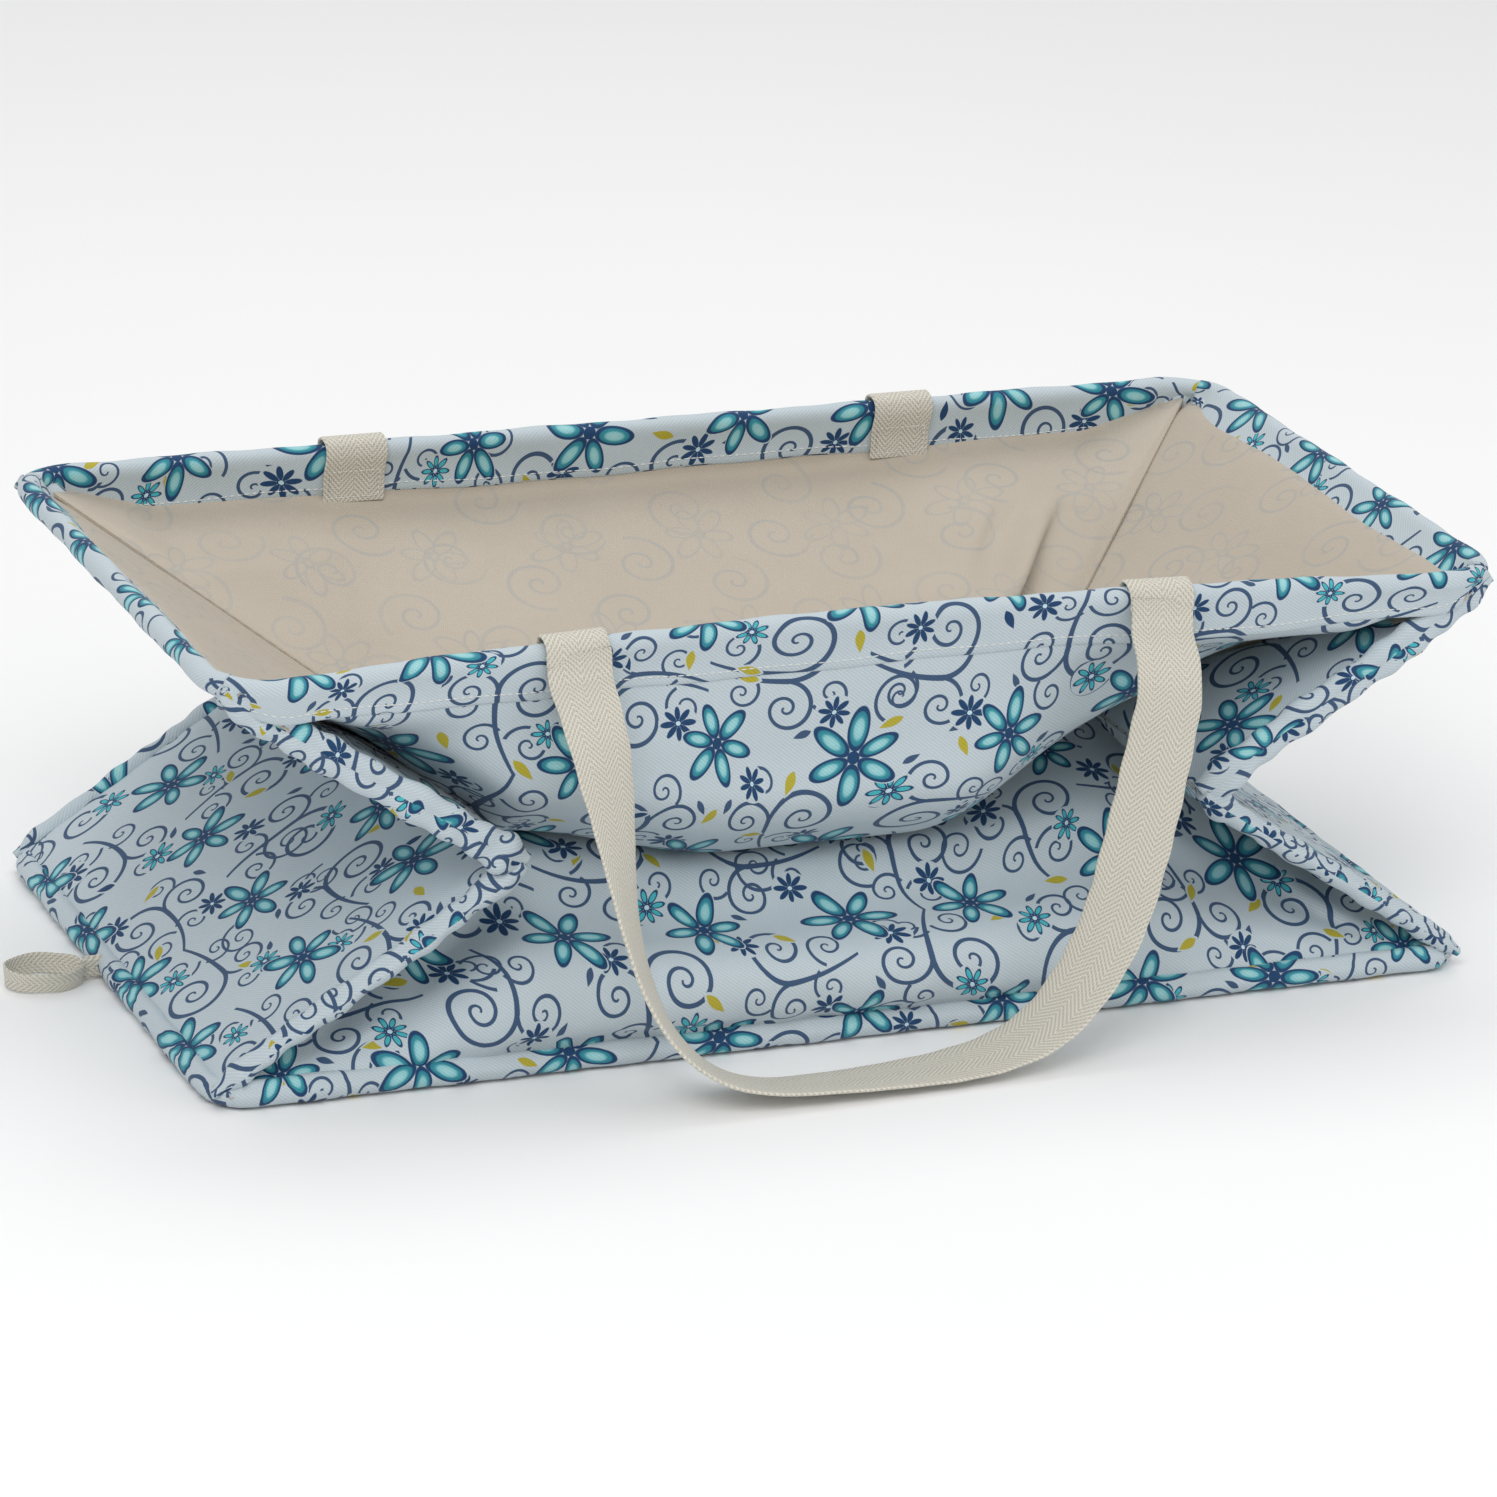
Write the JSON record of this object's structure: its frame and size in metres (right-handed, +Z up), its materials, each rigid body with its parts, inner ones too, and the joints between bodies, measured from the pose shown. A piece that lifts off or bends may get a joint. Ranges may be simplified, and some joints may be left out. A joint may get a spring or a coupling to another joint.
{
  "type": "laundry bag",
  "caption": "Collapsible rectangular fabric laundry tote with a wire rim, boarded inward-folding end panels, tucked long walls and two webbing handles.",
  "frame": {"origin": "middle of the underside", "axes": "+X along the long side, +Y across to the back side, +Z up"},
  "size_m": [0.6502, 0.4101, 0.1964],
  "materials": {
    "print_fabric": "pale twill with a dark blue and teal floral print",
    "lining": "beige coated cloth",
    "hem": "printed twill, stitched",
    "seam": "printed twill pinched over cord",
    "webbing": "cream herringbone cotton webbing",
    "stiffener": "plain board, hidden",
    "rim_wire": "spring steel wire",
    "ferrule": "crimped sleeve"
  },
  "bodies": {
    "base": {"base_cloth": "print_fabric", "base_board": "stiffener", "base_lining": "lining", "base_seam_piping": "seam", "pull_loop_tab": "webbing"},
    "rim": {"rim_wire": "rim_wire", "rim_ferrule": "ferrule", "hem_front": "hem", "hem_back": "hem", "strap_end_front_left": "webbing", "strap_end_front_right": "webbing", "strap_end_back_left": "webbing", "strap_end_back_right": "webbing"},
    "handle_front": {"handle_front": "webbing"},
    "handle_back": {"handle_back": "webbing"},
    "pull_loop": {"pull_loop": "webbing"},
    "left_lower": {"left_lower_cloth": "print_fabric", "left_lower_board": "stiffener", "left_lower_lining": "lining", "left_lower_rib_front": "seam", "left_lower_rib_back": "seam"},
    "left_upper": {"left_upper_cloth": "print_fabric", "left_upper_board": "stiffener", "left_upper_lining": "lining", "left_upper_rib_front": "seam", "left_upper_rib_back": "seam", "hem_left": "hem"},
    "right_lower": {"right_lower_cloth": "print_fabric", "right_lower_board": "stiffener", "right_lower_lining": "lining", "right_lower_rib_front": "seam", "right_lower_rib_back": "seam"},
    "right_upper": {"right_upper_cloth": "print_fabric", "right_upper_board": "stiffener", "right_upper_lining": "lining", "right_upper_rib_front": "seam", "right_upper_rib_back": "seam", "hem_right": "hem"},
    "front_lower": {"front_lower_cloth": "print_fabric", "front_lower_lining": "lining"},
    "front_upper": {"front_upper_cloth": "print_fabric", "front_upper_lining": "lining"},
    "back_lower": {"back_lower_cloth": "print_fabric", "back_lower_lining": "lining"},
    "back_upper": {"back_upper_cloth": "print_fabric", "back_upper_lining": "lining"},
    "front_left_lower_pleat": {"front_left_lower_pleat": "print_fabric"},
    "front_left_upper_pleat": {"front_left_upper_pleat": "print_fabric"},
    "front_right_lower_pleat": {"front_right_lower_pleat": "print_fabric"},
    "front_right_upper_pleat": {"front_right_upper_pleat": "print_fabric"},
    "back_left_lower_pleat": {"back_left_lower_pleat": "print_fabric"},
    "back_left_upper_pleat": {"back_left_upper_pleat": "print_fabric"},
    "back_right_lower_pleat": {"back_right_lower_pleat": "print_fabric"},
    "back_right_upper_pleat": {"back_right_upper_pleat": "print_fabric"}
  },
  "joints": [
    {"name": "fold", "type": "hinge", "parent": "base", "child": "front_lower", "pos_m": [0, -0.15, 0.007], "axis": [-1, 0, 0], "range_deg": [-56.3, 0]},
    {"name": "front_crease", "type": "hinge", "parent": "front_lower", "child": "front_upper", "pos_m": [0, -0.01269, 0.0985], "axis": [-1, 0, 0], "range_deg": [-0.5, 113.1]},
    {"name": "front_rim", "type": "hinge", "parent": "front_upper", "child": "rim", "pos_m": [0, -0.15, 0.19], "axis": [-1, 0, 0], "range_deg": [-56.8, 0.5]},
    {"name": "back_base", "type": "hinge", "parent": "base", "child": "back_lower", "pos_m": [0, 0.15, 0.007], "axis": [1, 0, 0], "range_deg": [-56.8, 0.5]},
    {"name": "back_rim", "type": "hinge", "parent": "rim", "child": "back_upper", "pos_m": [0, 0.15, 0.19], "axis": [-1, 0, 0], "range_deg": [-56.8, 0.5]},
    {"name": "left_base", "type": "hinge", "parent": "base", "child": "left_lower", "pos_m": [-0.3, 0, 0.007], "axis": [0, 1, 0], "range_deg": [-56.8, 0.5]},
    {"name": "left_rim", "type": "hinge", "parent": "rim", "child": "left_upper", "pos_m": [-0.3, 0, 0.19], "axis": [0, -1, 0], "range_deg": [-56.8, 0.5]},
    {"name": "right_base", "type": "hinge", "parent": "base", "child": "right_lower", "pos_m": [0.3, 0, 0.007], "axis": [0, -1, 0], "range_deg": [-56.8, 0.5]},
    {"name": "right_rim", "type": "hinge", "parent": "rim", "child": "right_upper", "pos_m": [0.3, 0, 0.19], "axis": [0, 1, 0], "range_deg": [-56.8, 0.5]},
    {"name": "front_left_lower_tuck", "type": "hinge", "parent": "front_lower", "child": "front_left_lower_pleat", "pos_m": [-0.3, -0.15, 0.007], "axis": [0.6396, 0.6396, 0.4263], "range_deg": [-127.17, 0.5]},
    {"name": "front_left_upper_tuck", "type": "hinge", "parent": "front_upper", "child": "front_left_upper_pleat", "pos_m": [-0.3, -0.15, 0.19], "axis": [-0.6396, -0.6396, 0.4263], "range_deg": [-127.17, 0.5]},
    {"name": "front_right_lower_tuck", "type": "hinge", "parent": "front_lower", "child": "front_right_lower_pleat", "pos_m": [0.3, -0.15, 0.007], "axis": [0.6396, -0.6396, -0.4263], "range_deg": [-127.17, 0.5]},
    {"name": "front_right_upper_tuck", "type": "hinge", "parent": "front_upper", "child": "front_right_upper_pleat", "pos_m": [0.3, -0.15, 0.19], "axis": [-0.6396, 0.6396, -0.4263], "range_deg": [-127.17, 0.5]},
    {"name": "back_left_lower_tuck", "type": "hinge", "parent": "back_lower", "child": "back_left_lower_pleat", "pos_m": [-0.3, 0.15, 0.007], "axis": [-0.6396, 0.6396, -0.4263], "range_deg": [-127.17, 0.5]},
    {"name": "back_left_upper_tuck", "type": "hinge", "parent": "back_upper", "child": "back_left_upper_pleat", "pos_m": [-0.3, 0.15, 0.19], "axis": [0.6396, -0.6396, -0.4263], "range_deg": [-127.17, 0.5]},
    {"name": "back_right_lower_tuck", "type": "hinge", "parent": "back_lower", "child": "back_right_lower_pleat", "pos_m": [0.3, 0.15, 0.007], "axis": [-0.6396, -0.6396, 0.4263], "range_deg": [-127.17, 0.5]},
    {"name": "back_right_upper_tuck", "type": "hinge", "parent": "back_upper", "child": "back_right_upper_pleat", "pos_m": [0.3, 0.15, 0.19], "axis": [0.6396, 0.6396, 0.4263], "range_deg": [-127.17, 0.5]},
    {"name": "front_handle_swing", "type": "hinge", "parent": "rim", "child": "handle_front", "pos_m": [0, -0.143, 0.193], "axis": [-1, 0, 0], "range_deg": [0, 205]},
    {"name": "back_handle_swing", "type": "hinge", "parent": "rim", "child": "handle_back", "pos_m": [0, 0.158, 0.193], "axis": [1, 0, 0], "range_deg": [0, 205]},
    {"name": "pull_loop_swing", "type": "hinge", "parent": "base", "child": "pull_loop", "pos_m": [-0.306, 0.01, 0.004], "axis": [0, 1, 0], "range_deg": [0, 85]}
  ],
  "couplings": [
    {"joint": "front_crease", "follows": "fold", "ratio": -2},
    {"joint": "front_rim", "follows": "fold", "ratio": 1},
    {"joint": "back_base", "follows": "fold", "ratio": 1},
    {"joint": "back_rim", "follows": "fold", "ratio": 1},
    {"joint": "left_base", "follows": "fold", "ratio": 1},
    {"joint": "left_rim", "follows": "fold", "ratio": 1},
    {"joint": "right_base", "follows": "fold", "ratio": 1},
    {"joint": "right_rim", "follows": "fold", "ratio": 1},
    {"joint": "front_left_lower_tuck", "follows": "fold", "ratio": 2.25},
    {"joint": "front_left_upper_tuck", "follows": "fold", "ratio": 2.25},
    {"joint": "front_right_lower_tuck", "follows": "fold", "ratio": 2.25},
    {"joint": "front_right_upper_tuck", "follows": "fold", "ratio": 2.25},
    {"joint": "back_left_lower_tuck", "follows": "fold", "ratio": 2.25},
    {"joint": "back_left_upper_tuck", "follows": "fold", "ratio": 2.25},
    {"joint": "back_right_lower_tuck", "follows": "fold", "ratio": 2.25},
    {"joint": "back_right_upper_tuck", "follows": "fold", "ratio": 2.25}
  ]
}
